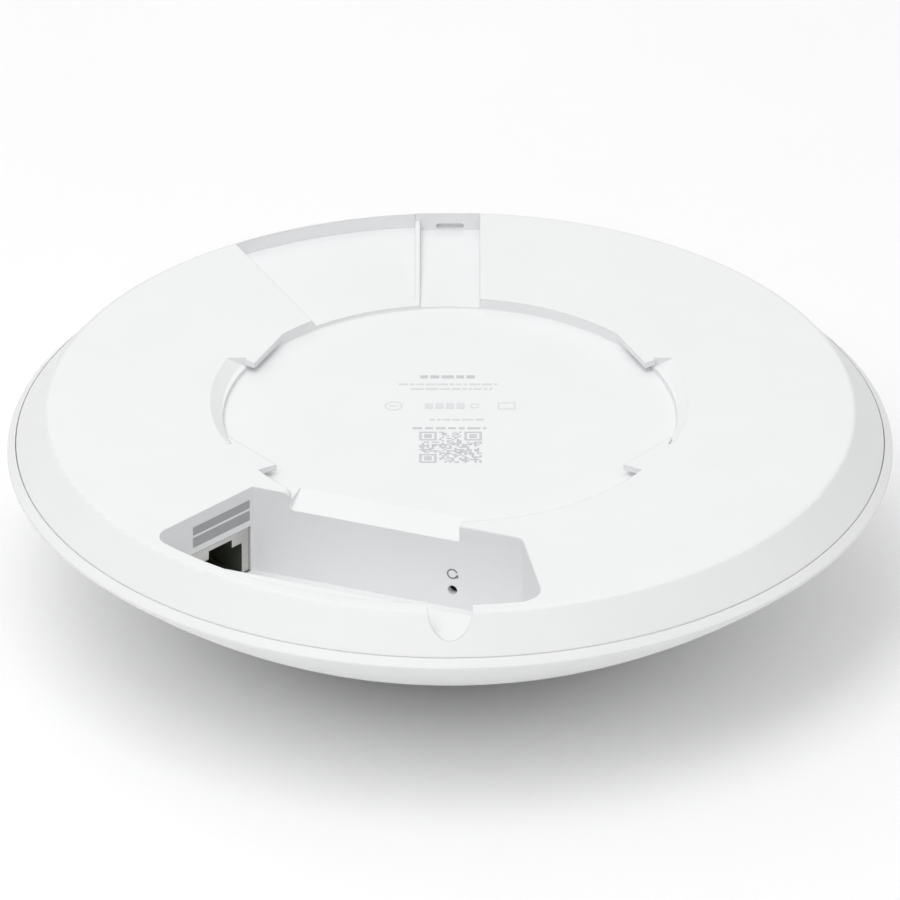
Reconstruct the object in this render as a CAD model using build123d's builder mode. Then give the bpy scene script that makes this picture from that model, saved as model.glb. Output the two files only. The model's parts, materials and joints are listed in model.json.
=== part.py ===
"""Round ceiling access point, as it hangs: ceiling side up (+Z), dome down.

The origin is the centre of the bracket recess's floor. +Y runs along the channel for the bracket's lock,
and the port tub is on the -Y side. Sizes are in millimetres.
"""
import math
import os

from build123d import *

# ---- overall size -------------------------------------------------------------------------------
rim_radius = 87.85
dome_depth = 33.85          # rim's lower edge to the dome's lowest point
rim_drop = 6.75             # recess floor down to the rim's lower edge
wall = 2.2                  # moulded wall of both covers
overrun = 5.0               # how far open-ended cuts pass the body
rim_lip = 0.5               # upright band around the rim
lip_width = 1.6             # rim's edge to the seam
seam_drop = 4.75            # recess floor down to the seam
seam_gap = 0.15
cover_seat = 1.9            # how far the rear cover's skirt sinks below the seam
ledge_width = 2.7           # step in the front cover that carries the skirt

# ---- bracket recess -------------------------------------------------------------------------------
plateau_z = 2.4             # flat ring that meets the ceiling
cone_width = 5.95           # seam to the ring's outer edge, in plan
shoulder_fillet = 1.2
recess_radius = 45.0
recess_edge_fillet = 0.3
tab_thickness = 1.2
tab_overlap = 0.4           # how far a tab's root runs into the recess wall
# each tab: tip's angle, tip's overhang, angle of the end face at the wall, angle where the tab runs out
tabs = [(25.5, 2.0, 26.1, 42.3), (-33.0, 4.1, -32.7, -14.6)]
# sloped scallops beside the tabs: the recess's own circle, moved outwards and along the channel
scallop_shift = (2.6, 3.5)
scallop_foot_z = 0.9
scallop_draft = 2.5
scallop_ends = (-14.0, 20.6)

# ---- channel for the bracket's lock, pocket beside it ---------------------------------------------
channel_half_width = 6.0
channel_start_z = 0.4
channel_end_z = -1.3
channel_margin = 0.7        # channel's outer wall to the ring's outer edge
rib_width = 1.0
rib_z = 0.85
rib_trim = 0.02             # extra width of the cut above the rib
pocket_end_z = -0.55
pocket_inner_angle = 127.7
pocket_outer_angle = 122.6
pocket_lean = 2.2            # pocket's left wall leans out by this much from its foot to the ring
pan_wall = 1.8
release_slot_width = 5.6
release_slot_height = 1.2
release_slot_rise = 0.25    # slot's lower edge above the channel floor

# ---- port tub ------------------------------------------------------------------------------------
tub_turn = 20.8             # far wall's clockwise turn from the X axis
far_wall = 42.9             # far wall's distance from the centre
tub_left = -25.35           # along the far wall
tub_right = 31.4
jack_wall_angle = 45.0      # jack wall's angle to the X axis
end_wall_angle = 59.0       # right end wall's angle to the far wall
tub_depth = 16.4
tub_wall = 1.6
tub_floor_wall = 1.3
tub_clearance = 0.8         # tub's outside to the dome's inside
mouth_margin = 2.8          # tub's mouth to the ring's outer edge
slot_width = 23.1           # far wall to near wall, below the shelf
shelf_z = -3.25
mouth_fillets = (4.0, 2.5, 5.0)
passage_left = -17.8
passage_right = 18.3
passage_lip_z = -1.3
passage_ramp = 7.0
passage_fillets = (1.4, 1.2)    # rounding at the top and foot of the passage's left side
mouth_edge = 0.5            # rounding of the mouth's upper edge beside the passage

# ---- notch in the tub's front edge -----------------------------------------------------------------
notch_half_width = 4.4
notch_reach = 79.6          # centre of the notch's round end
notch_wall = 1.5
tongue_gap = 0.5            # groove round the end of the notch's floor
tongue_height = 0.7

# ---- main board and jack -------------------------------------------------------------------------
board_drop = 17.6
board_thickness = 1.6
board_clearance = 0.8
jack_width = 15.7
jack_depth = 14.0
jack_height = 11.0
jack_from_corner = 8.7      # tub corner to the jack's middle, along the jack wall
jack_recess = 0.3           # jack's face behind the wall's face
jack_gap = 0.3              # window's edge to the jack
shield_sheet = 0.35
plug_width = 11.9
plug_height = 6.9
plug_depth = 11.5
plug_floor = 1.3
latch_width = 6.4
latch_height = 1.8
contact_count = 8
contact_pitch = 1.02
contact_width = 0.45
contact_sheet = 0.35
contact_start = 2.0         # jack's face to the contact's foot
contact_foot = 2.0
contact_bend = 0.4
contact_rise = 3.8          # blade's rise above the cavity's floor
contact_end_gap = 1.0

# ---- reset switch --------------------------------------------------------------------------------
reset_along = 16.8          # hole's place along the far wall
reset_drop = 12.5
reset_hole_radius = 1.0
plunger_radius = 1.1
plunger_fit = 0.08
plunger_reach = 1.4         # plunger's tip in front of the switch
plunger_setback = 0.5       # wall to the plunger's tip
plunger_travel = 0.3
flange_radius = 1.6
flange_thickness = 0.5
switch_width = 6.0
switch_depth = 3.6
switch_plate = 0.3
switch_above_axis = 2.4
spring_thickness = 0.2

# ---- fasteners and stack ---------------------------------------------------------------------------
boss_circle = 54.0
boss_angles = (25, 100, 165, 335)
boss_radius = 3.25
screw_radius = 1.25
screw_clearance = 0.25
screw_head_radius = 2.4
screw_head_height = 1.7
screw_bite = 6.0            # thread in the boss or leg
screw_tip_gap = 0.5
drive_radius = 0.9          # hexagon socket in a screw's head
drive_depth = 0.9
spacer_height = 2.6
plate_thickness = 0.8       # antenna plate
spreader_radius = 40.0
spreader_thickness = 1.5
spreader_top_z = -7.0
leg_circle = 35.0
leg_angles = (30, 120, 210, 300)
leg_radius = 3.0
pad_thickness = 1.0
pad_side = 13.0

# ---- parts on the board: middle x, y, size x, y, height ----------------------------------------------
shield_cans = [(0, 0, 32, 32), (-31, 4, 22, 18), (0, 31, 22, 18)]
can_height = 2.6
can_sheet = 0.3
can_lid_gap = 0.1
processor_place = (0, 2, 17, 17, 1.4)
memory_places = [(-11.5, -2, 4, 12, 1.0), (11.5, -2, 4, 12, 1.0)]
radio_places = [(-31, 4, 10, 10, 0.9), (0, 31, 10, 10, 0.9)]
network_transformer_place = (-48, -9, 10, 14, 6.0)
network_chip_place = (-32, -9.6, 6, 6, 0.9)
poe_transformer_place = (47, 2, 13, 12, 10.5)
poe_controller_place = (47, 14, 6, 6, 0.9)
flash_place = (22, 24, 6, 5, 0.8)
inductor_places = [(27, -8, 7, 7, 4.0), (27, 3, 7, 7, 4.0)]
crystal_places = [(21, -15, 3.2, 2.5, 0.8), (-20, -14, 3.2, 2.5, 0.8)]
capacitor_places = [(47, -12), (37, -28), (38, -38)]
capacitor_radius = 4.0
capacitor_height = 9.5
capacitor_edge = 0.6
chip_bevel = 0.2
transformer_bevel = 0.5
inductor_bevel = 0.8

# ---- antennas: circle radius, count, first angle, length, height --------------------------------------
low_band = (43, 3, 60, 22, 6.0)
high_band = (25, 3, 0, 11, 7.0)
antenna_sheet = 0.5
antenna_foot = 3.0
antenna_gap = 0.8           # radiator's upper edge below the plate
feed_offset = 3.0           # feed pin from the radiator's middle
feed_radius = 0.4
feed_hole_radius = 1.2

# ---- status light ------------------------------------------------------------------------------------
led_size = (3.2, 2.8, 1.0)
led_gap = 0.5
guide_radius = 2.0
guide_flange_radius = 3.2
guide_flange_height = 1.0
guide_fit = 0.1

# ---- catches that snap the covers together -------------------------------------------------------------
catch_angles = (15, 60, 150, 195, 325)
catch_width = 8.0
hook_width = 6.0
hook_thickness = 1.4
hook_overlap = 0.4
beak_height = 0.8
catch_height = 1.1
catch_reach = 3.0           # catch's inner face from the ledge
catch_root = 0.4            # how far a catch runs into the ledge
catch_gap = 0.2

# ---- values that follow ----------------------------------------------------------------------------
rim_z = -rim_drop
seam_radius = rim_radius - lip_width
cover_radius = seam_radius - seam_gap
plateau_radius = seam_radius - cone_width
seat_z = -seam_drop - cover_seat
dome_radius = (rim_radius**2 + dome_depth**2) / (2 * dome_depth)
dome_centre_z = rim_z - dome_depth + dome_radius
dome_bottom_z = rim_z - dome_depth
inner_dome_radius = dome_radius - wall
board_top = -board_drop
board_bottom = board_top - board_thickness
plate_top = board_bottom - spacer_height
plate_bottom = plate_top - plate_thickness
channel_end = plateau_radius - channel_margin
mouth_radius = plateau_radius - mouth_margin
near_wall = far_wall + slot_width
tub_bottom_z = -tub_depth - tub_floor_wall
above = plateau_z + overrun     # upper end of every cut that opens upwards
below = dome_bottom_z - overrun


def sphere_z(radius, at_radius):
    """Height of a sphere about the dome's centre, at a distance from the axis."""
    return dome_centre_z - math.sqrt(radius**2 - at_radius**2)


def sphere_reach(radius, z):
    """Distance from the axis at which that sphere has a height."""
    return math.sqrt(radius**2 - (dome_centre_z - z) ** 2)


def polar(radius, angle):
    """Point at a distance and an angle from the axis."""
    turn = math.radians(angle)
    return (radius * math.cos(turn), radius * math.sin(turn))


def on_plane(plane, x, y, z):
    """World point of a plane's own coordinates."""
    return plane.from_local_coords((x, y, z))


tub_plane = Plane(
    origin=(0, 0, 0),
    x_dir=(*polar(1, -tub_turn), 0),
    z_dir=(0, 0, 1),
)
jack_turn = 180 - jack_wall_angle - tub_turn    # far wall to jack wall, in the tub's plane
jack_step = polar(1, -jack_turn)
jack_plane = Plane(
    origin=on_plane(
        tub_plane,
        tub_left + jack_from_corner * jack_step[0],
        -far_wall + jack_from_corner * jack_step[1],
        board_top,
    ),
    x_dir=(*polar(1, jack_wall_angle), 0),
    z_dir=(0, 0, 1),
)
reset_plane = Plane(
    origin=on_plane(tub_plane, reset_along, -far_wall, -reset_drop),
    x_dir=tub_plane.x_dir,
    z_dir=(0, 0, 1),
)
reset_axis_plane = Plane(origin=reset_plane.origin, x_dir=tub_plane.x_dir, z_dir=tub_plane.y_dir)


def finish(part, name):
    """Label a piece and write it."""
    part.label = name
    export_step(part, f"parts/{name}.step")


os.makedirs("parts", exist_ok=True)

# ---- front cover: rim, ledge and dome ------------------------------------------------------------------
ledge_radius = seam_radius - ledge_width
with BuildPart() as front_cover:
    with BuildSketch(Plane.XZ) as front_profile:
        with BuildLine():
            ThreePointArc(
                (0, dome_bottom_z),
                (rim_radius / 2, sphere_z(dome_radius, rim_radius / 2)),
                (rim_radius, rim_z),
            )
            Polyline(
                (rim_radius, rim_z),
                (rim_radius, rim_z + rim_lip),
                (seam_radius, -seam_drop),
                (seam_radius, seat_z),
                (ledge_radius, seat_z),
                (ledge_radius, sphere_z(inner_dome_radius, ledge_radius)),
            )
            ThreePointArc(
                (ledge_radius, sphere_z(inner_dome_radius, ledge_radius)),
                (ledge_radius / 2, sphere_z(inner_dome_radius, ledge_radius / 2)),
                (0, sphere_z(inner_dome_radius, 0)),
            )
            Line((0, sphere_z(inner_dome_radius, 0)), (0, dome_bottom_z))
        make_face()
    revolve(axis=Axis.Z)
    # catches that the rear cover's hooks snap under
    catch_top = seat_z - catch_gap
    catch_inner = ledge_radius - catch_reach
    for angle in catch_angles:
        with BuildSketch(Plane.XY.offset(catch_top).rotated((0, 0, angle))):
            with Locations((ledge_radius + (catch_root - catch_reach) / 2, 0)):
                Rectangle(catch_reach + catch_root, catch_width)
        extrude(amount=-catch_height)
    # hole for the light guide
    with BuildSketch(Plane.XY.offset(below)):
        Circle(guide_radius + guide_fit)
    extrude(amount=dome_depth, mode=Mode.SUBTRACT)
finish(front_cover.part, "front_cover")

# ---- rear cover ------------------------------------------------------------------------------------
cone_slope = (cover_radius - plateau_radius) / (plateau_z + seam_drop)
cone_wall = wall * math.hypot(1, cone_slope)
skirt_radius = cover_radius - wall
skirt_top_z = plateau_z - (skirt_radius + cone_wall - plateau_radius) / cone_slope
fill_radius = inner_dome_radius - tub_clearance
fill_reach = sphere_reach(fill_radius, seat_z)

# the cover's outside, filled down to just above the dome
with BuildPart() as cover_envelope:
    with BuildSketch(Plane.XZ) as envelope_profile:
        with BuildLine():
            Polyline(
                (0, 0),
                (recess_radius, 0),
                (recess_radius, plateau_z),
                (plateau_radius, plateau_z),
                (cover_radius, -seam_drop),
                (cover_radius, seat_z),
                (fill_reach, seat_z),
            )
            ThreePointArc(
                (fill_reach, seat_z),
                (fill_reach / 2, sphere_z(fill_radius, fill_reach / 2)),
                (0, sphere_z(fill_radius, 0)),
            )
            Line((0, sphere_z(fill_radius, 0)), (0, 0))
        make_face()
        shoulder = envelope_profile.vertices().sort_by_distance((plateau_radius, 0, plateau_z))[:1]
        fillet(shoulder, shoulder_fillet)
        rim_edge = envelope_profile.vertices().sort_by_distance((recess_radius, 0, plateau_z))[:1]
        fillet(rim_edge, recess_edge_fillet)
    revolve(axis=Axis.Z)

# plan of the tub's mouth
with BuildSketch(tub_plane) as mouth_plan:
    with BuildLine():
        reach = 2 * rim_radius
        end_step = polar(reach, -end_wall_angle)
        Polyline(
            (tub_left, -far_wall),
            (tub_right, -far_wall),
            (tub_right + end_step[0], -far_wall + end_step[1]),
            (tub_left + reach * jack_step[0], -far_wall + reach * jack_step[1]),
            close=True,
        )
    make_face()
    Circle(mouth_radius, mode=Mode.INTERSECT)
    for corner, corner_fillet in (
        ((-mouth_radius / 2, -mouth_radius), mouth_fillets[0]),
        ((tub_right, -far_wall), mouth_fillets[1]),
        ((mouth_radius / 2, -mouth_radius), mouth_fillets[2]),
    ):
        fillet(mouth_plan.vertices().sort_by_distance(corner)[:1], corner_fillet)

with BuildSketch(tub_plane) as tub_outline:
    add(mouth_plan.sketch_local)
    offset(amount=tub_wall)
    Circle(plateau_radius, mode=Mode.INTERSECT)

# left edge of the pocket, from the recess to the channel's outer wall
pocket_start = polar(recess_radius, pocket_inner_angle)
pocket_stop = polar(channel_end, pocket_outer_angle)
pocket_edge_plane = Plane(
    origin=(*pocket_start, 0),
    x_dir=(pocket_stop[1] - pocket_start[1], pocket_start[0] - pocket_stop[0], 0),
    z_dir=(pocket_start[0] - pocket_stop[0], pocket_start[1] - pocket_stop[1], 0),
)
pocket_slope = (pocket_stop[0] - pocket_start[0]) / (pocket_stop[1] - pocket_start[1])


def pocket_edge(y):
    """Left edge of the pocket at a distance along the channel."""
    return pocket_start[0] + pocket_slope * (y - pocket_start[1])


rib_left = -channel_half_width - rib_width
start_y = recess_radius / 2
with BuildSketch() as pan_plan:
    Polygon(
        (channel_half_width + pan_wall, start_y),
        (channel_half_width + pan_wall, rim_radius),
        (pocket_edge(rim_radius) - pan_wall, rim_radius),
        (pocket_edge(start_y) - pan_wall, start_y),
        align=None,
    )
    Circle(recess_radius, mode=Mode.SUBTRACT)
    Circle(skirt_radius, mode=Mode.INTERSECT)

# hollow under the rear cover, with everything that hangs into it left out
boss_places = [polar(boss_circle, angle) for angle in boss_angles]
with BuildPart() as cover_cavity:
    with BuildSketch(Plane.XZ):
        with BuildLine():
            Polyline(
                (0, -wall),
                (recess_radius + wall, -wall),
                (recess_radius + wall, plateau_z - wall),
                (plateau_radius + cone_slope * wall - cone_wall, plateau_z - wall),
                (skirt_radius, skirt_top_z),
                (skirt_radius, seat_z),
                (rim_radius, seat_z),
                (rim_radius, below),
                (0, below),
                close=True,
            )
        make_face()
    revolve(axis=Axis.Z)
    with BuildSketch(Plane.XY.offset(channel_end_z - pan_wall)):
        add(pan_plan.sketch)
    extrude(amount=above, mode=Mode.SUBTRACT)
    with BuildSketch(tub_plane.offset(tub_bottom_z)):
        add(tub_outline.sketch_local)
    extrude(amount=tub_depth + above, mode=Mode.SUBTRACT)
    with BuildSketch(Plane.XY.offset(shelf_z - notch_wall)):
        with Locations((0, -(notch_reach + near_wall) / 2)):
            Rectangle(2 * (notch_half_width + notch_wall), notch_reach - near_wall + 2 * notch_half_width)
    extrude(amount=above - shelf_z, mode=Mode.SUBTRACT)
    with BuildSketch(Plane.XY.offset(board_top)):
        with Locations(*boss_places):
            Circle(boss_radius)
    extrude(amount=board_drop + plateau_z, mode=Mode.SUBTRACT)
    # hooks: a leg down from the cone and a beak under the catch
    hook_outer = catch_inner - catch_gap
    beak_top = catch_top - catch_height - catch_gap
    for angle in catch_angles:
        with BuildSketch(Plane.XY.offset(beak_top - beak_height).rotated((0, 0, angle))):
            with Locations((hook_outer - hook_thickness / 2, 0)):
                Rectangle(hook_thickness, hook_width)
        extrude(amount=board_drop, mode=Mode.SUBTRACT)
        with BuildSketch(Plane.XY.offset(beak_top).rotated((0, 0, angle))):
            with Locations((hook_outer, 0)):
                Rectangle(2 * (hook_overlap + catch_gap), hook_width)
        extrude(amount=-beak_height, mode=Mode.SUBTRACT)

# space inside the tub, rounded off underneath so that its floor clears the dome
with BuildPart() as tub_space:
    with BuildSketch(tub_plane.offset(-tub_depth)):
        add(mouth_plan.sketch_local)
        with Locations((0, -near_wall / 2)):
            Rectangle(4 * rim_radius, near_wall, mode=Mode.INTERSECT)
    extrude(amount=tub_depth + above)
    with Locations((0, 0, dome_centre_z)):
        Sphere(fill_radius - tub_floor_wall, mode=Mode.INTERSECT)
    with BuildSketch(tub_plane.offset(shelf_z)):
        add(mouth_plan.sketch_local)
    extrude(amount=above - shelf_z)

# sloping floors of the channel and the pocket
with BuildPart() as channel_space:
    with BuildSketch(Plane.YZ):
        Polygon(
            (start_y, channel_start_z),
            (recess_radius, channel_start_z),
            (channel_end, channel_end_z),
            (channel_end, above),
            (start_y, above),
            align=None,
        )
    extrude(amount=channel_half_width, both=True)

with BuildPart() as pocket_space:
    with BuildSketch(Plane.XZ):
        Polygon(
            (start_y, rib_z),
            (recess_radius, rib_z),
            (channel_end, pocket_end_z),
            (channel_end, above),
            (start_y, above),
            align=None,
        )
    revolve(axis=Axis.Z)
    lean_rate = pocket_lean / (plateau_z - pocket_end_z)
    with BuildSketch(pocket_edge_plane):
        Polygon(
            (lean_rate * (plateau_z - below), below),
            (rim_radius, below),
            (rim_radius, above),
            (lean_rate * (plateau_z - above), above),
            align=None,
        )
    extrude(amount=rim_radius, both=True, mode=Mode.INTERSECT)
    with BuildSketch(Plane.XY.offset(below)):
        with Locations((rib_left - rim_radius / 2, rim_radius / 2)):
            Rectangle(rim_radius, rim_radius)
    extrude(amount=above - below, mode=Mode.INTERSECT)

# ramp from the recess over the tub's far wall
ramp_plane = Plane(
    origin=on_plane(tub_plane, passage_left, 0, 0),
    x_dir=tub_plane.y_dir,
    z_dir=tub_plane.x_dir,
)
passage_plane = Plane(origin=(0, 0, 0), x_dir=tub_plane.x_dir, z_dir=-tub_plane.y_dir)
with BuildPart() as passage_space:
    with BuildSketch(ramp_plane):
        Polygon(
            (-far_wall - tub_wall / 2, passage_lip_z),
            (-far_wall, passage_lip_z),
            (-far_wall + passage_ramp, 0),
            (-far_wall + passage_ramp, above),
            (-far_wall - tub_wall / 2, above),
            align=None,
        )
    extrude(amount=passage_right - passage_left + passage_ramp, both=True)
    # seen along the wall's normal: the left side is rounded at its top and its foot
    with BuildSketch(passage_plane) as passage_front:
        Polygon(
            (passage_left - 2 * passage_fillets[0], plateau_z),
            (passage_left, plateau_z),
            (passage_left, passage_lip_z),
            (passage_right, passage_lip_z),
            (passage_right, above),
            (passage_left - 2 * passage_fillets[0], above),
            align=None,
        )
        for corner, corner_fillet in (
            ((passage_left, plateau_z), passage_fillets[0]),
            ((passage_left, passage_lip_z), passage_fillets[1]),
        ):
            fillet(passage_front.vertices().sort_by_distance(corner)[:1], corner_fillet)
    extrude(amount=rim_radius, mode=Mode.INTERSECT)

# scallops: a slope between the recess and its own circle moved outwards
scallop_spaces = {}
for side in (-1, 1):
    with BuildPart() as scallop_space:
        with Locations((side * scallop_shift[0], scallop_shift[1], (plateau_z + scallop_foot_z) / 2)):
            Cone(recess_radius - scallop_draft, recess_radius, plateau_z - scallop_foot_z)
        with BuildSketch(Plane.XY):
            with Locations((side * recess_radius, sum(scallop_ends) / 2)):
                Rectangle(recess_radius / 2, scallop_ends[1] - scallop_ends[0])
        extrude(amount=above, mode=Mode.INTERSECT)
    scallop_spaces[side] = scallop_space.part

window_width = jack_width + 2 * jack_gap
with BuildPart() as rear_cover:
    add(cover_envelope.part)
    add(cover_cavity.part, mode=Mode.SUBTRACT)
    add(tub_space.part, mode=Mode.SUBTRACT)
    add(channel_space.part, mode=Mode.SUBTRACT)
    add(pocket_space.part, mode=Mode.SUBTRACT)
    add(passage_space.part, mode=Mode.SUBTRACT)
    # the thin rib between channel and pocket stands only as high as the pocket's inner end
    with BuildSketch(Plane.XY.offset(rib_z)):
        with Locations((rib_left + rib_width / 2, (channel_end + start_y) / 2)):
            Rectangle(rib_width + rib_trim, channel_end - start_y)
    extrude(amount=above, mode=Mode.SUBTRACT)
    # slot for the pin that releases the bracket's lock
    with BuildSketch(Plane.XZ.offset(-channel_end + channel_margin)):
        with Locations((0, channel_end_z + release_slot_rise + release_slot_height / 2)):
            SlotOverall(release_slot_width, release_slot_height)
    extrude(amount=-rim_radius / 4, mode=Mode.SUBTRACT)
    # scallops where the bracket's lugs drop in
    for side in (-1, 1):
        add(scallop_spaces[side], mode=Mode.SUBTRACT)
    # tabs over the recess
    root_radius = recess_radius + 2 * tab_thickness
    for tip_angle, overhang, root_angle, end_angle in tabs:
        outline = [
            polar(recess_radius - overhang, tip_angle),
            polar(recess_radius, end_angle),
            polar(root_radius, end_angle),
            polar(root_radius, root_angle),
        ]
        for side in (-1, 1):
            with BuildSketch(Plane.XY.offset(plateau_z)):
                Polygon(*[(side * x, y) for x, y in outline], align=None)
                Circle(recess_radius + tab_overlap, mode=Mode.INTERSECT)
            extrude(amount=-tab_thickness)
    # notch in the mouth's front edge; a narrow groove runs round the end of its floor
    with BuildSketch(Plane.XY.offset(shelf_z)):
        with Locations((0, -notch_reach)):
            Circle(notch_half_width)
        with Locations((0, -(notch_reach + near_wall) / 2)):
            Rectangle(2 * notch_half_width, notch_reach - near_wall)
    extrude(amount=above, mode=Mode.SUBTRACT)
    with BuildSketch(Plane.XY.offset(shelf_z)) as groove_plan:
        with Locations((0, -notch_reach)):
            Circle(notch_half_width)
            Circle(notch_half_width - tongue_gap, mode=Mode.SUBTRACT)
        with Locations((0, notch_half_width - notch_reach)):
            Rectangle(2 * notch_half_width, 2 * notch_half_width, mode=Mode.SUBTRACT)
    extrude(amount=-tongue_height, mode=Mode.SUBTRACT)
    # window for the jack, down through the tub's floor
    with BuildSketch(jack_plane.offset(-jack_gap)):
        with Locations((0, tub_wall)):
            Rectangle(window_width, 2 * tub_wall)
    extrude(amount=jack_height + 2 * jack_gap, mode=Mode.SUBTRACT)
    # hole for a pin to the reset button
    with BuildSketch(reset_axis_plane.offset(-tub_wall)):
        Circle(reset_hole_radius)
    extrude(amount=3 * tub_wall, mode=Mode.SUBTRACT)
    # pilot holes for the board screws
    with BuildSketch(Plane.XY.offset(board_top)):
        with Locations(*boss_places):
            Circle(screw_radius)
    extrude(amount=screw_bite + screw_tip_gap, mode=Mode.SUBTRACT)
    # the mouth's upper edge right of the passage is rounded
    beside_passage = on_plane(tub_plane, (passage_right + tub_right) / 2, -far_wall, plateau_z)
    fillet(rear_cover.edges().sort_by_distance(beside_passage)[:1], mouth_edge)
finish(rear_cover.part, "rear_cover")


def block(place):
    """Box on the board, from its middle x and y, its size and its height."""
    x, y, size_x, size_y, height = place
    with Locations((x, y, board_top)):
        Box(size_x, size_y, height, align=(Align.CENTER, Align.CENTER, Align.MIN))


def chips(name, places, corner=0.0):
    """One node of packages on the board, with their upper edges bevelled."""
    with BuildPart() as packages:
        for place in places:
            block(place)
        if corner:
            chamfer(packages.faces().group_by(Axis.Z)[-1].edges(), corner)
    finish(packages.part, name)


def screws(name, places, seat, tip):
    """Pan-head screws with a hexagon socket, heads down, from their seat up to their tip."""
    with BuildPart() as group:
        with BuildSketch(Plane.XY.offset(seat)):
            with Locations(*places):
                Circle(screw_head_radius)
        extrude(amount=-screw_head_height)
        fillet(group.edges().group_by(Axis.Z)[0], screw_head_height / 3)
        with BuildSketch(Plane.XY.offset(seat)):
            with Locations(*places):
                Circle(screw_radius)
        extrude(amount=tip - seat)
        with BuildSketch(Plane.XY.offset(seat - screw_head_height)):
            with Locations(*places):
                RegularPolygon(drive_radius, 6)
        extrude(amount=drive_depth, mode=Mode.SUBTRACT)
    finish(group.part, name)


# ---- main board ------------------------------------------------------------------------------------
board_radius = sphere_reach(inner_dome_radius, board_bottom) - board_clearance
leg_places = [polar(leg_circle, angle) for angle in leg_angles]
with BuildPart() as main_board:
    with BuildSketch(Plane.XY.offset(board_bottom)):
        Circle(board_radius)
        with Locations(*boss_places, *leg_places):
            Circle(screw_radius + screw_clearance, mode=Mode.SUBTRACT)
    extrude(amount=board_thickness)
    with BuildSketch(tub_plane.offset(board_bottom)):
        add(mouth_plan.sketch_local)
        offset(amount=tub_wall + board_clearance)
    extrude(amount=board_thickness, mode=Mode.SUBTRACT)
finish(main_board.part, "main_board")

# ---- network jack ------------------------------------------------------------------------------------
# x along the jack wall, y into the body, z up from the board
insert_width = jack_width - 2 * shield_sheet
insert_height = jack_height - shield_sheet
insert_depth = jack_depth - 2 * shield_sheet
insert_start = jack_recess + shield_sheet
with BuildPart() as plug_space:
    with BuildSketch(jack_plane.offset(plug_floor)):
        with Locations((0, jack_recess + plug_depth / 2)):
            Rectangle(plug_width, plug_depth)
    extrude(amount=plug_height)
    with BuildSketch(jack_plane.offset(plug_floor + plug_height)):
        with Locations((0, jack_recess + plug_depth / 2)):
            Rectangle(latch_width, plug_depth)
    extrude(amount=latch_height)

with BuildPart() as rj45_shield:
    with BuildSketch(jack_plane):
        with Locations((0, jack_recess + jack_depth / 2)):
            Rectangle(jack_width, jack_depth)
    extrude(amount=jack_height)
    with BuildSketch(jack_plane):
        with Locations((0, insert_start + insert_depth / 2)):
            Rectangle(insert_width, insert_depth)
    extrude(amount=insert_height, mode=Mode.SUBTRACT)
    add(plug_space.part, mode=Mode.SUBTRACT)
finish(rj45_shield.part, "rj45_shield")

with BuildPart() as rj45_insert:
    with BuildSketch(jack_plane):
        with Locations((0, insert_start + insert_depth / 2)):
            Rectangle(insert_width, insert_depth)
    extrude(amount=insert_height)
    add(plug_space.part, mode=Mode.SUBTRACT)
finish(rj45_insert.part, "rj45_insert")

# spring contacts: a foot on the cavity's floor, then a blade that rises towards the back
contact_side_plane = Plane(
    origin=on_plane(jack_plane, 0, 0, 0),
    x_dir=jack_plane.y_dir,
    z_dir=jack_plane.x_dir,
)
foot_start = jack_recess + contact_start
foot_end = foot_start + contact_foot
blade_end = jack_recess + plug_depth - contact_end_gap
with BuildPart() as rj45_contacts:
    for number in range(contact_count):
        across = (number - (contact_count - 1) / 2) * contact_pitch
        with BuildSketch(contact_side_plane.offset(across - contact_width / 2)):
            with BuildLine():
                Polyline(
                    (foot_start, plug_floor),
                    (foot_end, plug_floor),
                    (blade_end, plug_floor + contact_rise),
                    (blade_end, plug_floor + contact_rise + contact_sheet),
                    (foot_end - contact_bend, plug_floor + contact_sheet),
                    (foot_start, plug_floor + contact_sheet),
                    close=True,
                )
            make_face()
        extrude(amount=contact_width)
finish(rj45_contacts.part, "rj45_contacts")

# ---- reset switch -------------------------------------------------------------------------------------
# x along the far wall, z of reset_axis_plane into the body
switch_face = tub_wall + plunger_setback + plunger_reach
switch_foot = board_drop - reset_drop
with BuildPart() as reset_switch_cover:
    with BuildSketch(reset_axis_plane.offset(switch_face)):
        with Locations((0, (switch_foot - switch_above_axis) / 2)):
            Rectangle(switch_width, switch_foot + switch_above_axis)
        Circle(plunger_radius + plunger_fit, mode=Mode.SUBTRACT)
    extrude(amount=switch_plate)
finish(reset_switch_cover.part, "reset_switch_cover")

cavity_face = switch_face + switch_plate
cavity_depth = flange_thickness + plunger_travel + 2 * spring_thickness
with BuildPart() as reset_switch_base:
    with BuildSketch(reset_axis_plane.offset(cavity_face)):
        with Locations((0, (switch_foot - switch_above_axis) / 2)):
            Rectangle(switch_width, switch_foot + switch_above_axis)
    extrude(amount=switch_depth - switch_plate)
    with BuildSketch(reset_axis_plane.offset(cavity_face)):
        Circle(flange_radius + 2 * plunger_fit)
    extrude(amount=cavity_depth, mode=Mode.SUBTRACT)
finish(reset_switch_base.part, "reset_switch_base")

with BuildPart() as reset_dome_spring:
    with BuildSketch(reset_axis_plane.offset(cavity_face + cavity_depth - spring_thickness)):
        Circle(flange_radius)
    extrude(amount=spring_thickness)
finish(reset_dome_spring.part, "reset_dome_spring")

with BuildPart() as reset_plunger:
    with BuildSketch(reset_axis_plane.offset(switch_face - plunger_reach)):
        Circle(plunger_radius)
    extrude(amount=plunger_reach + switch_plate)
    fillet(reset_plunger.faces().sort_by(Axis.Y)[0].edges(), plunger_radius / 4)
    with BuildSketch(reset_axis_plane.offset(cavity_face + plunger_fit / 2)):
        Circle(flange_radius)
    extrude(amount=flange_thickness - plunger_fit / 2)
    with BuildSketch(reset_axis_plane.offset(cavity_face)):
        Circle(plunger_radius)
    extrude(amount=plunger_fit / 2)
finish(reset_plunger.part, "reset_plunger")

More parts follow.
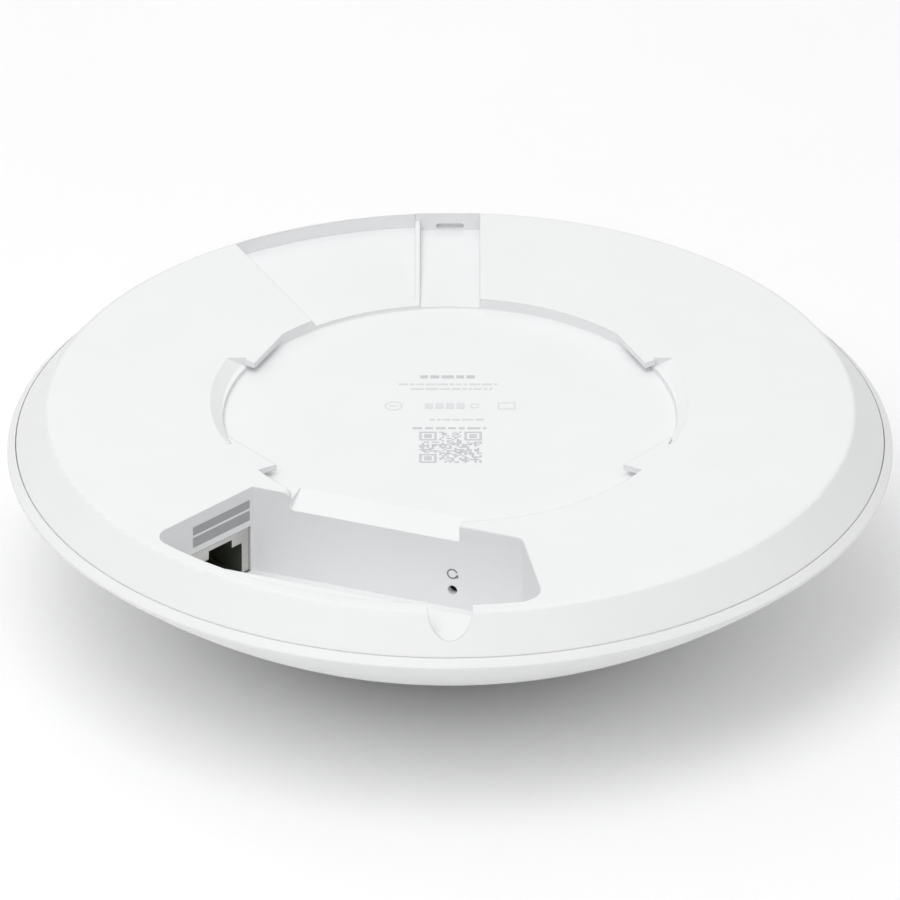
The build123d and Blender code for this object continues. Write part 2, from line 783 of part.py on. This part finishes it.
# ---- shield cans -----------------------------------------------------------------------------------------
with BuildPart() as shield_frames:
    with BuildSketch(Plane.XY.offset(board_top)):
        for x, y, size_x, size_y in shield_cans:
            with Locations((x, y)):
                Rectangle(size_x, size_y)
                Rectangle(size_x - 2 * can_sheet, size_y - 2 * can_sheet, mode=Mode.SUBTRACT)
    extrude(amount=can_height)
finish(shield_frames.part, "shield_frames")

lid_skirt = can_height / 2
lid_margin = 2 * (can_sheet + can_lid_gap)
with BuildPart() as shield_lids:
    with BuildSketch(Plane.XY.offset(board_top + can_height - lid_skirt)):
        for x, y, size_x, size_y in shield_cans:
            with Locations((x, y)):
                Rectangle(size_x + lid_margin, size_y + lid_margin)
    extrude(amount=lid_skirt + can_sheet)
    with BuildSketch(Plane.XY.offset(board_top + can_height - lid_skirt)):
        for x, y, size_x, size_y in shield_cans:
            with Locations((x, y)):
                Rectangle(size_x + 2 * can_lid_gap, size_y + 2 * can_lid_gap)
    extrude(amount=lid_skirt, mode=Mode.SUBTRACT)
finish(shield_lids.part, "shield_lids")

# ---- chips and power parts ----------------------------------------------------------------------------
chips("processor", [processor_place], chip_bevel)
chips("memory_chips", memory_places)
chips("radio_chips", radio_places)
chips("network_transformer", [network_transformer_place], transformer_bevel)
chips("network_chip", [network_chip_place])
chips("poe_transformer", [poe_transformer_place], transformer_bevel)
chips("poe_controller", [poe_controller_place])
chips("flash_chip", [flash_place])
chips("inductors", inductor_places, inductor_bevel)
chips("crystals", crystal_places)
with BuildPart() as capacitors:
    with BuildSketch(Plane.XY.offset(board_top)):
        with Locations(*capacitor_places):
            Circle(capacitor_radius)
    extrude(amount=capacitor_height)
    fillet(capacitors.edges().group_by(Axis.Z)[-1], capacitor_edge)
finish(capacitors.part, "capacitors")

# ---- heat spreader over the shield cans -------------------------------------------------------------------
lid_top = board_top + can_height + can_sheet
spreader_bottom = spreader_top_z - spreader_thickness
pad_places = [(x, y) for x, y, size_x, size_y in shield_cans]
with BuildPart() as heat_spreader:
    with BuildSketch(Plane.XY.offset(spreader_bottom)):
        Circle(spreader_radius)
    extrude(amount=spreader_thickness)
    fillet(heat_spreader.edges().group_by(Axis.Z)[-1], spreader_thickness / 3)
    with BuildSketch(Plane.XY.offset(lid_top + pad_thickness)):
        with Locations(*pad_places):
            Rectangle(pad_side, pad_side)
        Circle(spreader_radius, mode=Mode.INTERSECT)
    extrude(amount=spreader_bottom - lid_top - pad_thickness)
    with BuildSketch(Plane.XY.offset(board_top)):
        with Locations(*leg_places):
            Circle(leg_radius)
    extrude(amount=spreader_bottom - board_top)
    with BuildSketch(Plane.XY.offset(board_top)):
        with Locations(*leg_places):
            Circle(screw_radius)
    extrude(amount=screw_bite + screw_tip_gap, mode=Mode.SUBTRACT)
finish(heat_spreader.part, "heat_spreader")

with BuildPart() as thermal_pads:
    with BuildSketch(Plane.XY.offset(lid_top)):
        with Locations(*pad_places):
            Rectangle(pad_side, pad_side)
        Circle(spreader_radius, mode=Mode.INTERSECT)
    extrude(amount=pad_thickness)
finish(thermal_pads.part, "thermal_pads")

# ---- antenna plate, spacers and screws --------------------------------------------------------------------
antenna_places = []
for circle, count, first, length, height in (low_band, high_band):
    for number in range(count):
        antenna_places.append((circle, first + number * 360 / count))
feed_places = []
for circle, angle in antenna_places:
    along = polar(feed_offset, angle + 90)
    middle = polar(circle, angle)
    feed_places.append((middle[0] + along[0], middle[1] + along[1]))

plate_radius = sphere_reach(inner_dome_radius, plate_bottom) - board_clearance
with BuildPart() as antenna_plate:
    with BuildSketch(Plane.XY.offset(plate_bottom)):
        Circle(plate_radius)
        with Locations(*boss_places):
            Circle(screw_radius + screw_clearance, mode=Mode.SUBTRACT)
        with Locations(*feed_places):
            Circle(feed_hole_radius, mode=Mode.SUBTRACT)
        Circle(guide_radius + guide_fit, mode=Mode.SUBTRACT)
    extrude(amount=plate_thickness)
finish(antenna_plate.part, "antenna_plate")

with BuildPart() as board_spacers:
    with BuildSketch(Plane.XY.offset(plate_top)):
        with Locations(*boss_places):
            Circle(boss_radius)
            Circle(screw_radius + screw_clearance, mode=Mode.SUBTRACT)
    extrude(amount=spacer_height)
finish(board_spacers.part, "board_spacers")

screws("board_screws", boss_places, plate_bottom, board_top + screw_bite)
screws("spreader_screws", leg_places, board_bottom, board_top + screw_bite)


def antennas(name, circle, count, first, length, height):
    """Stamped radiators that stand down from the plate, each on a foot at one end."""
    with BuildPart() as group:
        for number in range(count):
            turned = Plane.XY.offset(plate_bottom).rotated((0, 0, first + number * 360 / count))
            with BuildSketch(turned.offset(-height)):
                with Locations((circle, 0)):
                    Rectangle(antenna_sheet, length)
            extrude(amount=height - antenna_gap)
            with BuildSketch(turned):
                with Locations((circle, -(length - antenna_foot) / 2)):
                    Rectangle(antenna_sheet, antenna_foot)
            extrude(amount=-antenna_gap)
            with BuildSketch(turned):
                with Locations((circle - antenna_foot / 2, -(length - antenna_foot) / 2)):
                    Rectangle(antenna_foot, antenna_foot)
            extrude(amount=-antenna_sheet)
    finish(group.part, name)


antennas("low_band_antennas", *low_band)
antennas("high_band_antennas", *high_band)

with BuildPart() as feed_pins:
    with BuildSketch(Plane.XY.offset(board_bottom)):
        with Locations(*feed_places):
            Circle(feed_radius)
    extrude(amount=-spacer_height - plate_thickness - antenna_gap)
finish(feed_pins.part, "feed_pins")

# ---- status light -------------------------------------------------------------------------------------------
with BuildPart() as status_led:
    with BuildSketch(Plane.XY.offset(board_bottom)):
        Rectangle(led_size[0], led_size[1])
    extrude(amount=-led_size[2])
    chamfer(status_led.faces().sort_by(Axis.Z)[0].edges(), led_size[2] / 5)
finish(status_led.part, "status_led")

guide_top = board_bottom - led_size[2] - led_gap
flange_bottom = sphere_z(inner_dome_radius, guide_flange_radius) + guide_fit
with BuildPart() as light_guide:
    with BuildSketch(Plane.XY.offset(dome_bottom_z)):
        Circle(guide_radius)
    extrude(amount=guide_top - dome_bottom_z)
    with BuildSketch(Plane.XY.offset(flange_bottom)):
        Circle(guide_flange_radius)
    extrude(amount=guide_flange_height)
finish(light_guide.part, "light_guide")
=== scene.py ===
"""Looks of the ceiling access point: materials, printed marks, floor, light and camera."""

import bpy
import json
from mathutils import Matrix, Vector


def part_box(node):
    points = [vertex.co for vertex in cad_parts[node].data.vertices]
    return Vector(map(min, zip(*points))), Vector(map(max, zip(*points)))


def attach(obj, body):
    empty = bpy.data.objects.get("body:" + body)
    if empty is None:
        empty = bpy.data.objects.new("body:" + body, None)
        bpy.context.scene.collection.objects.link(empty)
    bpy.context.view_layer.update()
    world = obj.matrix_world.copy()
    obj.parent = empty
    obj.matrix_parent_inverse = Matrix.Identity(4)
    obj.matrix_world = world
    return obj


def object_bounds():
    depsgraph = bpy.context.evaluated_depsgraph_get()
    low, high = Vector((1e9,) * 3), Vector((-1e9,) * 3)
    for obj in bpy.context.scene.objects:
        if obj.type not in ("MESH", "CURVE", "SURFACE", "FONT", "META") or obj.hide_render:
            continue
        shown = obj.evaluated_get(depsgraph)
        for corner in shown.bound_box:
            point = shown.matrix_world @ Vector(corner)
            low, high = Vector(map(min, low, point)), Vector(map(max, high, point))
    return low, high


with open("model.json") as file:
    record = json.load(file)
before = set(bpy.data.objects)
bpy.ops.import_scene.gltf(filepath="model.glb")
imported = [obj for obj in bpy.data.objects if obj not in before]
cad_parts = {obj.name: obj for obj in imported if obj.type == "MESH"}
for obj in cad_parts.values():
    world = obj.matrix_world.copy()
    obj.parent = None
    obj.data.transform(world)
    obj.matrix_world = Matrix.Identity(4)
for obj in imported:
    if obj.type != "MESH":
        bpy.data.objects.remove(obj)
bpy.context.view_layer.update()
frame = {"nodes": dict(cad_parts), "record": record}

import json
import math
import random

import bpy
from mathutils import Vector

MM = 0.001
WHITE = (1, 1, 1, 1)
BLACK = (0, 0, 0, 1)
record = frame["record"]
mounts = {mount["name"]: mount for mount in record["mounts"]}
bpy.context.scene.view_settings.view_transform = "Standard"


# ---- materials -----------------------------------------------------------------------------------
def link(tree, source, target):
    tree.links.new(source, target)


def noise(tree, coords, scale, detail, roughness=0.55):
    node = tree.nodes.new("ShaderNodeTexNoise")
    node.inputs["Scale"].default_value = scale
    node.inputs["Detail"].default_value = detail
    node.inputs["Roughness"].default_value = roughness
    link(tree, coords, node.inputs["Vector"])
    return node.outputs["Fac"]


def remap(tree, value, low, high, from_low=0.3, from_high=0.7):
    node = tree.nodes.new("ShaderNodeMapRange")
    node.inputs["From Min"].default_value = from_low
    node.inputs["From Max"].default_value = from_high
    node.inputs["To Min"].default_value = low
    node.inputs["To Max"].default_value = high
    link(tree, value, node.inputs["Value"])
    return node.outputs["Result"]


def mix(tree, factor, first, second):
    """Colour mix; first and second are colours or sockets.

    The node has sockets of one name for each data type, so the colour ones go by number.
    """
    node = tree.nodes.new("ShaderNodeMix")
    node.data_type = "RGBA"
    factor_in, first_in, second_in = (node.inputs[number] for number in (0, 6, 7))
    link(tree, factor, factor_in)
    for socket, colour in ((first_in, first), (second_in, second)):
        if isinstance(colour, tuple):
            socket.default_value = (*colour, 1)
        else:
            link(tree, colour, socket)
    return node.outputs[2]


def shade(colour, factor):
    return tuple(min(1.0, channel * factor) for channel in colour)


HANDLED_SCALE = 6             # the uneven gloss is this much finer than the slow colour change
GLOSS_SWING = 0.12            # share by which the roughness rises and falls
SPECKLE_FROM = (0.62, 0.70)   # grain values between which a speckle fades in
SPECKLE_SHADE = 1.6
EDGE_HIGHLIGHT_SHARE = 0.7              # how much of the painted edge highlight the sharpest edge takes
EDGE_HIGHLIGHT_FROM = (0.80, 0.995)     # cosine of the normal's turn: full painted highlight, and none at all
BUMP_STRENGTH = 0.6
BEVEL_SAMPLES = 4


def finish_material(name, colour, roughness, metallic=0.0, grain=3000, grain_height=0.00001,
                    patch=60, variation=0.04, edge=0.25, edge_highlight=1.06, stretch=(1, 1, 1),
                    extra=None, speckle=0.0, transmission=None):
    """Moulded, stamped or milled surface: fine grain, slow colour change, painted edge highlights,
    uneven gloss.

    grain and patch are noise scales per metre, grain_height is in metres and edge, the width of
    the painted edge highlight, in millimetres. variation is the share by which the colour changes,
    edge_highlight the factor on it at an edge, which paints a highlight there, and speckle how
    strongly light grains show. extra is a function that adds its own nodes to the tint.
    """
    material = bpy.data.materials.new(name)
    material.use_nodes = True
    tree = material.node_tree
    shader = tree.nodes["Principled BSDF"]
    place = tree.nodes.new("ShaderNodeTexCoord").outputs["Object"]
    squeeze = tree.nodes.new("ShaderNodeVectorMath")
    squeeze.operation = "MULTIPLY"
    squeeze.inputs[1].default_value = stretch
    link(tree, place, squeeze.inputs[0])
    coords = squeeze.outputs["Vector"]
    fine = noise(tree, coords, grain, detail=3)
    broad = noise(tree, coords, patch, detail=4)
    handled = noise(tree, coords, patch * HANDLED_SCALE, detail=2)
    tint = mix(tree, remap(tree, broad, 0, 1), shade(colour, 1 - variation),
               shade(colour, 1 + variation / 2))
    if speckle:
        tint = mix(tree, remap(tree, fine, 0, speckle, *SPECKLE_FROM), tint,
                   shade(colour, SPECKLE_SHADE))
    # painted edge highlight: the colour is lightened along edges, found from how far a softened
    # normal turns from the flat one
    soft = tree.nodes.new("ShaderNodeBevel")
    soft.samples = BEVEL_SAMPLES
    soft.inputs["Radius"].default_value = edge * MM
    flat = tree.nodes.new("ShaderNodeNewGeometry").outputs["Normal"]
    turned = tree.nodes.new("ShaderNodeVectorMath")
    turned.operation = "DOT_PRODUCT"
    link(tree, soft.outputs["Normal"], turned.inputs[0])
    link(tree, flat, turned.inputs[1])
    edge_highlight_mask = remap(tree, turned.outputs["Value"], EDGE_HIGHLIGHT_SHARE, 0.0, *EDGE_HIGHLIGHT_FROM)
    # painted highlight: edges take a lighter copy of the colour
    tint = mix(tree, edge_highlight_mask, tint, shade(colour, edge_highlight))
    if extra:
        tint = extra(tree, place, tint)
    link(tree, tint, shader.inputs["Base Color"])
    gloss = remap(tree, handled, roughness * (1 - GLOSS_SWING),
                  min(1.0, roughness * (1 + GLOSS_SWING)))
    link(tree, gloss, shader.inputs["Roughness"])
    shader.inputs["Metallic"].default_value = metallic
    if transmission is not None:
        shader.inputs["Transmission Weight"].default_value = transmission
    bump = tree.nodes.new("ShaderNodeBump")
    bump.inputs["Strength"].default_value = BUMP_STRENGTH
    bump.inputs["Distance"].default_value = grain_height
    link(tree, fine, bump.inputs["Height"])
    link(tree, soft.outputs["Normal"], bump.inputs["Normal"])
    link(tree, bump.outputs["Normal"], shader.inputs["Normal"])
    return material


TRACK_SCALE = 260
TRACK_WIDTH = 0.03
TRACK_SHARE = 0.5
TRACK_COLOUR = (0.10, 0.34, 0.20)


def solder_mask(tree, place, tint):
    """Copper tracks showing faintly through the board's green lacquer."""
    bricks = tree.nodes.new("ShaderNodeTexBrick")
    bricks.inputs["Scale"].default_value = TRACK_SCALE
    bricks.inputs["Mortar Size"].default_value = TRACK_WIDTH
    bricks.inputs["Color1"].default_value = BLACK
    bricks.inputs["Color2"].default_value = BLACK
    bricks.inputs["Mortar"].default_value = WHITE
    link(tree, place, bricks.inputs["Vector"])
    tracks = remap(tree, bricks.outputs["Color"], 0, TRACK_SHARE, 0, 1)
    return mix(tree, tracks, tint, TRACK_COLOUR)


# each finish's edge factor lightens its colour along its edges, a painted highlight
finishes = {
    "cover": dict(colour=(0.875, 0.88, 0.885), roughness=0.48, grain=2600, grain_height=0.000006,
                  variation=0.012, edge=0.3, edge_highlight=1.04),
    "board": dict(colour=(0.035, 0.20, 0.11), roughness=0.38, grain=1500, variation=0.12,
                  extra=solder_mask),
    "jack_metal": dict(colour=(0.60, 0.60, 0.58), roughness=0.32, metallic=1.0, grain=900, patch=90,
                       variation=0.10, stretch=(1, 1, 9), edge=0.15, edge_highlight=1.25),
    "jack_plastic": dict(colour=(0.075, 0.085, 0.07), roughness=0.5, variation=0.10, edge=0.1,
                         edge_highlight=1.5),
    "contact": dict(colour=(0.86, 0.66, 0.30), roughness=0.22, metallic=1.0, variation=0.08,
                    edge=0.05),
    "can_metal": dict(colour=(0.70, 0.70, 0.69), roughness=0.34, metallic=1.0, grain=1100,
                      patch=120, variation=0.08, stretch=(8, 1, 1), edge=0.12, edge_highlight=1.2),
    "black_plastic": dict(colour=(0.035, 0.035, 0.036), roughness=0.5, variation=0.2, edge=0.15,
                          edge_highlight=1.8),
    "button": dict(colour=(0.06, 0.06, 0.062), roughness=0.45, variation=0.15, edge=0.1,
                   edge_highlight=1.8),
    "chip": dict(colour=(0.045, 0.045, 0.048), roughness=0.62, grain=5000, variation=0.12,
                 edge=0.08, edge_highlight=1.6, speckle=0.35),
    "ferrite": dict(colour=(0.13, 0.13, 0.14), roughness=0.6, grain=4200, variation=0.2, edge=0.15,
                    edge_highlight=1.4, speckle=0.4),
    "capacitor_can": dict(colour=(0.74, 0.75, 0.77), roughness=0.3, metallic=1.0,
                          stretch=(1, 1, 0.1), variation=0.06, edge=0.2, edge_highlight=1.15),
    "aluminium": dict(colour=(0.72, 0.73, 0.75), roughness=0.36, metallic=1.0, grain=1300,
                      stretch=(12, 1, 1), variation=0.06, edge=0.2, edge_highlight=1.15),
    "pad": dict(colour=(0.46, 0.60, 0.70), roughness=0.8, grain=2400, grain_height=0.00003,
                variation=0.1, edge=0.2),
    "screw": dict(colour=(0.52, 0.52, 0.53), roughness=0.3, metallic=1.0, grain=2200,
                  variation=0.12, edge=0.1, edge_highlight=1.3),
    "antenna_metal": dict(colour=(0.78, 0.72, 0.58), roughness=0.35, metallic=1.0, grain=1300,
                          stretch=(1, 1, 8), variation=0.08, edge=0.1, edge_highlight=1.2),
    "led": dict(colour=(0.90, 0.84, 0.55), roughness=0.2, variation=0.06, edge=0.1),
    "guide": dict(colour=(0.88, 0.90, 0.92), roughness=0.12, variation=0.03, edge=0.1,
                  transmission=0.6),
}
materials = {name: finish_material(name, **values) for name, values in finishes.items()}

slots = {part["node"]: part["material_slot"] for part in record["subparts"]}
for node, piece in frame["nodes"].items():
    piece.data.materials.clear()
    piece.data.materials.append(materials[slots[node]])


# ---- printed marks -------------------------------------------------------------------------------
class Print:
    """Thin inked shapes on a face: origin, across and up are the face's own axes, in metres."""

    def __init__(self, name, origin, across, up, tone):
        self.name = name
        self.origin = Vector(origin)
        self.across = Vector(across)
        self.up = Vector(up)
        self.tone = tone
        self.vertices = []
        self.faces = []

    def shape(self, points):
        """Filled outline, points in millimetres, counter-clockwise."""
        first = len(self.vertices)
        for x, y in points:
            self.vertices.append(self.origin + self.across * (x * MM) + self.up * (y * MM))
        self.faces.append(tuple(range(first, first + len(points))))

    def bar(self, x0, x1, y0, y1):
        self.shape([(x0, y0), (x1, y0), (x1, y1), (x0, y1)])

    def arc(self, x, y, inner, outer, start, stop, steps=28):
        """Ring segment, one four-sided face for each step."""
        for step in range(steps):
            a = math.radians(start + (stop - start) * step / steps)
            b = math.radians(start + (stop - start) * (step + 1) / steps)
            self.shape([(x + r * math.cos(t), y + r * math.sin(t)) for r, t in
                        ((inner, a), (outer, a), (outer, b), (inner, b))])

    def done(self, slot="cover"):
        """Make the mesh, ink it and let it ride on the fixed body."""
        mesh = bpy.data.meshes.new(self.name)
        mesh.from_pydata([tuple(v) for v in self.vertices], [], self.faces)
        mesh.update()
        piece = bpy.data.objects.new(self.name, mesh)
        bpy.context.scene.collection.objects.link(piece)
        mesh.materials.append(finish_material(
            self.name + "_ink", self.tone, 0.62, grain=3600, grain_height=0.000004,
            patch=400, variation=0.06, edge=0.05, edge_highlight=1.0))
        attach(piece, "root")


INK_LIFT = 0.03 * MM
floor_point = Vector(mounts["bracket_recess"]["pos_m"]) + Vector((0, 0, INK_LIFT))
chance = random.Random(11)


def word_bars(target, x0, x1, y, height, gap):
    """A line of print as plain bars of uneven length; all in millimetres, y at mid-height."""
    shortest, longest, least_left = 0.6, 2.6, 0.4
    x = x0
    while x < x1 - least_left:
        length = min(chance.uniform(shortest, longest), x1 - x)
        target.bar(x, x + length, y - height / 2, y + height / 2)
        x += length + gap


def floor_print(name, tone):
    """Print on the recess floor, read with +Y up."""
    return Print(name, floor_point, (1, 0, 0), (0, 1, 0), tone)


heading = floor_print("print_heading", (0.60, 0.61, 0.63))
word_bars(heading, -5.9, 5.6, 17.2, 1.15, 0.5)
heading.done()
lines = floor_print("print_lines", (0.74, 0.75, 0.76))
word_bars(lines, -10.2, 9.6, 14.2, 0.62, 0.35)
word_bars(lines, -7.8, 8.5, 12.4, 0.62, 0.35)
word_bars(lines, -4.0, 7.0, 0.0, 0.7, 0.4)
lines.done()

# four plain symbols in a row: a barred ring, four blocks, a small ring and an open box
SYMBOL_ROW = 5.5
STROKE = 0.3
symbols = floor_print("print_symbols", (0.76, 0.77, 0.78))
symbols.arc(-11.2, SYMBOL_ROW, 1.5, 1.5 + STROKE, 0, 360)
symbols.bar(-12.1, -10.3, SYMBOL_ROW - STROKE / 2, SYMBOL_ROW + STROKE / 2)
for step in range(4):
    symbols.bar(-5.0 + 2.1 * step, -3.4 + 2.1 * step, SYMBOL_ROW - 1.1, SYMBOL_ROW + 1.1)
symbols.arc(4.9, SYMBOL_ROW, 0.7, 0.95, 0, 360)
square_x0, square_x1, square_y0, square_y1 = 9.5, 13.0, 4.1, 6.9
symbols.bar(square_x0, square_x1, square_y0, square_y0 + STROKE)
symbols.bar(square_x0, square_x1, square_y1 - STROKE, square_y1)
symbols.bar(square_x0, square_x0 + STROKE, square_y0 + STROKE, square_y1 - STROKE)
symbols.bar(square_x1 - STROKE, square_x1, square_y0 + STROKE, square_y1 - STROKE)
symbols.done()

# a made-up dot pattern under a line of bars, with a framed block in three corners
CELLS = 25
CODE_LEFT, CODE_TOP, CODE_SIDE = -6.1, -4.9, 12.4
CELL = CODE_SIDE / CELLS
DOT_SHARE = 0.94
BLANK_CHANCE = 0.5
CORNER_CELLS = 7
far_corner = CELLS - CORNER_CELLS
code = floor_print("print_code", (0.62, 0.63, 0.65))
word_bars(code, -7.4, 7.2, -3.5, 0.75, 0.55)


def in_corner(column, row):
    """Whether a cell lies in one of the three corner blocks or the blank margin round it."""
    middle = CORNER_CELLS // 2
    last = CELLS - 1 - middle
    reach = middle + 1.5        # half a cell to the block's edge, and one blank cell
    return any(abs(column - c) < reach and abs(row - r) < reach
               for c, r in ((middle, middle), (last, middle), (middle, last)))


for row in range(CELLS):
    for column in range(CELLS):
        if in_corner(column, row) or chance.random() < BLANK_CHANCE:
            continue
        code.bar(CODE_LEFT + column * CELL, CODE_LEFT + (column + DOT_SHARE) * CELL,
                 CODE_TOP - (row + DOT_SHARE) * CELL, CODE_TOP - row * CELL)
for column, row in ((0, 0), (far_corner, 0), (0, far_corner)):
    x0, y1 = CODE_LEFT + column * CELL, CODE_TOP - row * CELL
    x1, y0 = x0 + CORNER_CELLS * CELL, y1 - CORNER_CELLS * CELL
    code.bar(x0, x1, y1 - CELL, y1)
    code.bar(x0, x1, y0, y0 + CELL)
    code.bar(x0, x0 + CELL, y0 + CELL, y1 - CELL)
    code.bar(x1 - CELL, x1, y0 + CELL, y1 - CELL)
    code.bar(x0 + 2 * CELL, x1 - 2 * CELL, y0 + 2 * CELL, y1 - 2 * CELL)
code.done()


def across_wall(outward):
    """The level direction along an upright wall, left to right for someone facing it."""
    return Vector((0, 0, 1)).cross(outward).normalized()


# two plain bars above the jack
LABEL_HALF_WIDTH = 7.85
MOUTH_SETBACK = 0.3 * MM      # the jack's mount lies this far behind the tub's wall
jack = mounts["rj45_socket"]
out = Vector(jack["axis"])
jack_face = Vector((*jack["pos_m"][:2], 0)) + out * (MOUTH_SETBACK + INK_LIFT)
label = Print("jack_label_bars", jack_face, across_wall(out), (0, 0, 1), (0.42, 0.43, 0.44))
label.bar(-LABEL_HALF_WIDTH, LABEL_HALF_WIDTH, -2.1, -0.25)
label.bar(-LABEL_HALF_WIDTH, LABEL_HALF_WIDTH, -4.85, -2.65)
label.done()

# round arrow above the reset hole: an open ring with a three-sided head at its end
RING_HEIGHT = 3.65
RING_RADIUS = 1.0
RING_HALF_WIDTH = 0.15
RING_START, RING_END = 20, 320
hole = mounts["reset_hole"]
out = Vector(hole["axis"])
mark_place = Vector(hole["pos_m"]) + out * (hole["dims"]["length_mm"] / 2 * MM + INK_LIFT)
mark = Print("reset_mark", mark_place, across_wall(out), (0, 0, 1), (0.22, 0.22, 0.23))
mark.arc(0, RING_HEIGHT, RING_RADIUS - RING_HALF_WIDTH, RING_RADIUS + RING_HALF_WIDTH,
         RING_START, RING_END)
head_x = RING_RADIUS * math.cos(math.radians(RING_END))
head_y = RING_HEIGHT + RING_RADIUS * math.sin(math.radians(RING_END))
mark.shape([(head_x - 0.45, head_y - 0.2), (head_x + 0.55, head_y - 0.1),
            (head_x + 0.35, head_y + 0.75)])
mark.done()


# ---- camera --------------------------------------------------------------------------------------
rim_low, rim_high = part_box("front_cover")
RIM_RADIUS = (rim_high[0] - rim_low[0]) / 2
VIEW_ELEVATION = math.radians(29.6)
VIEW_DISTANCE = 60 * RIM_RADIUS
TARGET = Vector((0, 0, -6.95 * MM))
LENS = 1062.6
SENSOR_WIDTH = 36

camera_data = bpy.data.cameras.new("camera")
camera = bpy.data.objects.new("camera", camera_data)
bpy.context.scene.collection.objects.link(camera)
toward_camera = Vector((0, -math.cos(VIEW_ELEVATION), math.sin(VIEW_ELEVATION)))
camera.location = TARGET + VIEW_DISTANCE * toward_camera
camera.rotation_euler = (math.pi / 2 - VIEW_ELEVATION, 0, 0)
camera_data.sensor_width = SENSOR_WIDTH
camera_data.lens = LENS
camera_data.clip_start = 0.1
camera_data.clip_end = 30
bpy.context.scene.camera = camera


# ---- floor and light -----------------------------------------------------------------------------
def area_light(name, place, size, power):
    """Square lamp aimed at the origin; place and size in metres, power in watts."""
    data = bpy.data.lights.new(name, "AREA")
    data.size = size
    data.energy = power
    lamp = bpy.data.objects.new(name, data)
    bpy.context.scene.collection.objects.link(lamp)
    lamp.location = place
    lamp.rotation_euler = (-Vector(place)).to_track_quat("-Z", "Y").to_euler()


area_light("key", (-0.25, -0.35, 1.4), 0.9, 4.6)
area_light("front", (-0.45, -0.85, 1.05), 0.6, 2.4)
area_light("back", (-0.5, 1.0, 0.9), 0.8, 1.5)

# soft sky, brighter overhead than at the horizon
HORIZON_STRENGTH, ZENITH_STRENGTH = 0.26, 0.96
world = bpy.data.worlds.new("world")
bpy.context.scene.world = world
world.use_nodes = True
sky = world.node_tree
background = sky.nodes["Background"]
background.inputs["Color"].default_value = WHITE
direction = sky.nodes.new("ShaderNodeSeparateXYZ")
link(sky, sky.nodes.new("ShaderNodeTexCoord").outputs["Generated"], direction.inputs[0])
strength = remap(sky, direction.outputs["Z"], HORIZON_STRENGTH, ZENITH_STRENGTH, 0.0, 1.0)
link(sky, strength, background.inputs["Strength"])

FLOOR_HALF_SPAN = 3.0
floor_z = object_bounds()[0][2]
floor_mesh = bpy.data.meshes.new("floor")
floor_corners = [(x * FLOOR_HALF_SPAN, y * FLOOR_HALF_SPAN, floor_z)
                 for x, y in ((-1, -1), (1, -1), (1, 1), (-1, 1))]
floor_mesh.from_pydata(floor_corners, [], [(0, 1, 2, 3)])
floor = bpy.data.objects.new("floor", floor_mesh)
bpy.context.scene.collection.objects.link(floor)
floor_mesh.materials.append(
    finish_material("floor", (0.98, 0.98, 0.98), 0.9, grain=800, patch=8, variation=0.01))
